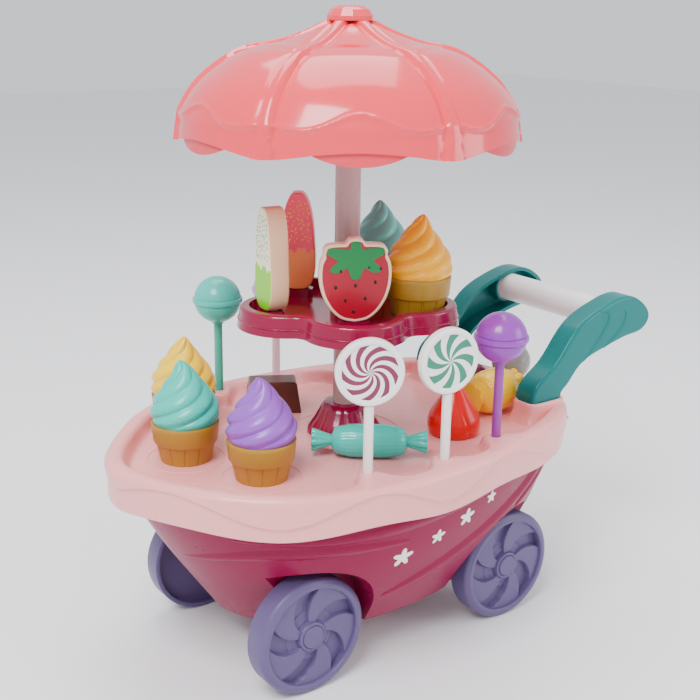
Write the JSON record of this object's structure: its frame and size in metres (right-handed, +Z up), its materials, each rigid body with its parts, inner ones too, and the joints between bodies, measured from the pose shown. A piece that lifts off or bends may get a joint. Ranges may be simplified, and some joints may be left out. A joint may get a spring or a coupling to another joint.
{
  "type": "toy sweet cart",
  "caption": "Toy push cart on axles with a boat-shaped hull, sweet tray, lifting sweets and ice creams, push bar, pole, raised dish and turning umbrella canopy.",
  "frame": {"origin": "on the floor, under the middle of the overall length and width", "axes": "+X from the nose to the push handle, +Y to the cart's right-hand side, +Z up"},
  "size_m": [0.3886, 0.2219, 0.4],
  "materials": {
    "hull_magenta": "semi-gloss moulded plastic, raspberry magenta",
    "tray_pink": "glossy light pink moulded plastic",
    "bush_white": "plain off-white plastic",
    "axle_steel": "drawn steel rod",
    "wheel_mauve": "satin mauve-grey plastic",
    "arm_teal": "semi-gloss teal plastic",
    "bar_white": "smooth white plastic",
    "raspberry_gloss": "glossy raspberry plastic",
    "pole_pale": "smooth pale grey-pink plastic",
    "canopy_coral": "glossy coral plastic",
    "liner_rose": "glossy dark rose plastic",
    "wafer_tan": "satin tan plastic",
    "ice_teal": "semi-gloss plastic",
    "ice_purple": "semi-gloss plastic",
    "ice_yellow": "semi-gloss plastic",
    "ice_orange": "semi-gloss plastic",
    "ice_blue": "semi-gloss plastic",
    "ball_purple": "semi-gloss plastic",
    "stick_white": "plain white plastic",
    "ball_teal": "semi-gloss plastic",
    "ball_pink": "semi-gloss plastic",
    "disc_red": "printed swirl on a white rim",
    "disc_green": "printed swirl on a white rim",
    "popsicle_green": "two-tone, white over green",
    "popsicle_tang": "plain tan plastic",
    "popsicle_pink": "two-tone, pink over orange",
    "strawberry_red": "red with a cream border and a green cap",
    "wrap_teal": "glossy teal plastic",
    "wrap_yellow": "glossy yellow plastic",
    "wrap_plum": "glossy plum plastic",
    "drop_red": "glossy red plastic",
    "chocolate": "satin brown plastic",
    "ball_grey": "satin pale grey plastic"
  },
  "bodies": {
    "cart": {"hull": "hull_magenta", "main_tray": "tray_pink", "axle_bushes": "bush_white", "pole_base": "raspberry_gloss", "lower_pole": "pole_pale", "upper_pole": "pole_pale", "upper_tray": "raspberry_gloss", "left_handle_arm": "arm_teal", "right_handle_arm": "arm_teal", "handle_bar": "bar_white"},
    "front_wheelset": {"front_axle": "axle_steel", "front_left_wheel": "wheel_mauve", "front_left_hub_cap": "wheel_mauve", "front_right_wheel": "wheel_mauve", "front_right_hub_cap": "wheel_mauve"},
    "rear_wheelset": {"rear_axle": "axle_steel", "rear_left_wheel": "wheel_mauve", "rear_left_hub_cap": "wheel_mauve", "rear_right_wheel": "wheel_mauve", "rear_right_hub_cap": "wheel_mauve"},
    "umbrella": {"canopy": "canopy_coral", "canopy_liner": "liner_rose", "canopy_socket": "liner_rose", "canopy_finial": "canopy_coral"},
    "teal_cup": {"teal_ice_cream_cup": "wafer_tan"},
    "teal_swirl": {"teal_ice_cream_swirl": "ice_teal"},
    "purple_cup": {"purple_ice_cream_cup": "wafer_tan"},
    "purple_swirl": {"purple_ice_cream_swirl": "ice_purple"},
    "yellow_cup": {"yellow_ice_cream_cup": "wafer_tan"},
    "yellow_swirl": {"yellow_ice_cream_swirl": "ice_yellow"},
    "orange_cup": {"orange_ice_cream_cup": "wafer_tan"},
    "orange_swirl": {"orange_ice_cream_swirl": "ice_orange"},
    "blue_cup": {"blue_ice_cream_cup": "wafer_tan"},
    "blue_swirl": {"blue_ice_cream_swirl": "ice_blue"},
    "purple_ball_lollipop": {"purple_ball_lollipop_head": "ball_purple", "purple_ball_lollipop_stick": "stick_white"},
    "teal_ball_lollipop": {"teal_ball_lollipop_head": "ball_teal", "teal_ball_lollipop_stick": "stick_white"},
    "pink_ball_lollipop": {"pink_ball_lollipop_head": "ball_pink", "pink_ball_lollipop_stick": "stick_white"},
    "red_disc_lollipop": {"red_disc_lollipop_head": "disc_red", "red_disc_lollipop_stick": "stick_white"},
    "green_disc_lollipop": {"green_disc_lollipop_head": "disc_green", "green_disc_lollipop_stick": "stick_white"},
    "green_ice_lolly": {"green_popsicle": "popsicle_green", "green_popsicle_stick": "popsicle_tang"},
    "pink_ice_lolly": {"pink_popsicle": "popsicle_pink", "pink_popsicle_stick": "popsicle_tang"},
    "loose_strawberry_biscuit": {"strawberry_biscuit": "strawberry_red"},
    "loose_teal_wrapped_candy": {"teal_wrapped_candy": "wrap_teal"},
    "loose_yellow_wrapped_candy": {"yellow_wrapped_candy": "wrap_yellow"},
    "loose_plum_wrapped_candy": {"plum_wrapped_candy": "wrap_plum"},
    "loose_red_drop_candy": {"red_drop_candy": "drop_red"},
    "loose_chocolate_block": {"chocolate_block": "chocolate"},
    "loose_grey_ball_candy": {"grey_ball_candy": "ball_grey"}
  },
  "joints": [
    {"name": "front_axle_turn", "type": "hinge", "parent": "cart", "child": "front_wheelset", "pos_m": [-0.105, 0, 0.0375], "axis": [0, 1, 0], "continuous": true},
    {"name": "rear_axle_turn", "type": "hinge", "parent": "cart", "child": "rear_wheelset", "pos_m": [0.0545, 0, 0.0375], "axis": [0, 1, 0], "continuous": true},
    {"name": "umbrella_turn", "type": "hinge", "parent": "cart", "child": "umbrella", "pos_m": [-0.0305, 0, 0.384], "axis": [0, 0, 1], "continuous": true},
    {"name": "teal_cup_lift", "type": "slide", "parent": "cart", "child": "teal_cup", "axis": [0, 0, 1], "range_m": [0, 0.02]},
    {"name": "teal_swirl_lift", "type": "slide", "parent": "teal_cup", "child": "teal_swirl", "axis": [0, 0, 1], "range_m": [0, 0.015]},
    {"name": "purple_cup_lift", "type": "slide", "parent": "cart", "child": "purple_cup", "axis": [0, 0, 1], "range_m": [0, 0.02]},
    {"name": "purple_swirl_lift", "type": "slide", "parent": "purple_cup", "child": "purple_swirl", "axis": [0, 0, 1], "range_m": [0, 0.015]},
    {"name": "yellow_cup_lift", "type": "slide", "parent": "cart", "child": "yellow_cup", "axis": [0, 0, 1], "range_m": [0, 0.02]},
    {"name": "yellow_swirl_lift", "type": "slide", "parent": "yellow_cup", "child": "yellow_swirl", "axis": [0, 0, 1], "range_m": [0, 0.015]},
    {"name": "orange_cup_lift", "type": "slide", "parent": "cart", "child": "orange_cup", "axis": [0, 0, 1], "range_m": [0, 0.012]},
    {"name": "orange_swirl_lift", "type": "slide", "parent": "orange_cup", "child": "orange_swirl", "axis": [0, 0, 1], "range_m": [0, 0.01]},
    {"name": "blue_cup_lift", "type": "slide", "parent": "cart", "child": "blue_cup", "axis": [0, 0, 1], "range_m": [0, 0.012]},
    {"name": "blue_swirl_lift", "type": "slide", "parent": "blue_cup", "child": "blue_swirl", "axis": [0, 0, 1], "range_m": [0, 0.01]},
    {"name": "purple_ball_lollipop_lift", "type": "slide", "parent": "cart", "child": "purple_ball_lollipop", "axis": [0, 0, 1], "range_m": [0, 0.018]},
    {"name": "teal_ball_lollipop_lift", "type": "slide", "parent": "cart", "child": "teal_ball_lollipop", "axis": [0, 0, 1], "range_m": [0, 0.018]},
    {"name": "pink_ball_lollipop_lift", "type": "slide", "parent": "cart", "child": "pink_ball_lollipop", "axis": [0, 0, 1], "range_m": [0, 0.018]},
    {"name": "red_disc_lollipop_lift", "type": "slide", "parent": "cart", "child": "red_disc_lollipop", "axis": [0, 0, 1], "range_m": [0, 0.018]},
    {"name": "green_disc_lollipop_lift", "type": "slide", "parent": "cart", "child": "green_disc_lollipop", "axis": [0, 0, 1], "range_m": [0, 0.018]},
    {"name": "green_ice_lolly_lift", "type": "slide", "parent": "cart", "child": "green_ice_lolly", "axis": [0, 0, 1], "range_m": [0, 0.012]},
    {"name": "pink_ice_lolly_lift", "type": "slide", "parent": "cart", "child": "pink_ice_lolly", "axis": [0, 0, 1], "range_m": [0, 0.012]},
    {"name": "strawberry_biscuit_lift", "type": "slide", "parent": "cart", "child": "loose_strawberry_biscuit", "axis": [0, 0, 1], "range_m": [0, 0.012]},
    {"name": "teal_wrapped_candy_lift", "type": "slide", "parent": "cart", "child": "loose_teal_wrapped_candy", "axis": [0, 0, 1], "range_m": [0, 0.015]},
    {"name": "yellow_wrapped_candy_lift", "type": "slide", "parent": "cart", "child": "loose_yellow_wrapped_candy", "axis": [0, 0, 1], "range_m": [0, 0.015]},
    {"name": "plum_wrapped_candy_lift", "type": "slide", "parent": "cart", "child": "loose_plum_wrapped_candy", "axis": [0, 0, 1], "range_m": [0, 0.015]},
    {"name": "red_drop_candy_lift", "type": "slide", "parent": "cart", "child": "loose_red_drop_candy", "axis": [0, 0, 1], "range_m": [0, 0.015]},
    {"name": "chocolate_block_lift", "type": "slide", "parent": "cart", "child": "loose_chocolate_block", "axis": [0, 0, 1], "range_m": [0, 0.015]},
    {"name": "grey_ball_candy_lift", "type": "slide", "parent": "cart", "child": "loose_grey_ball_candy", "axis": [0, 0, 1], "range_m": [0, 0.015]}
  ]
}
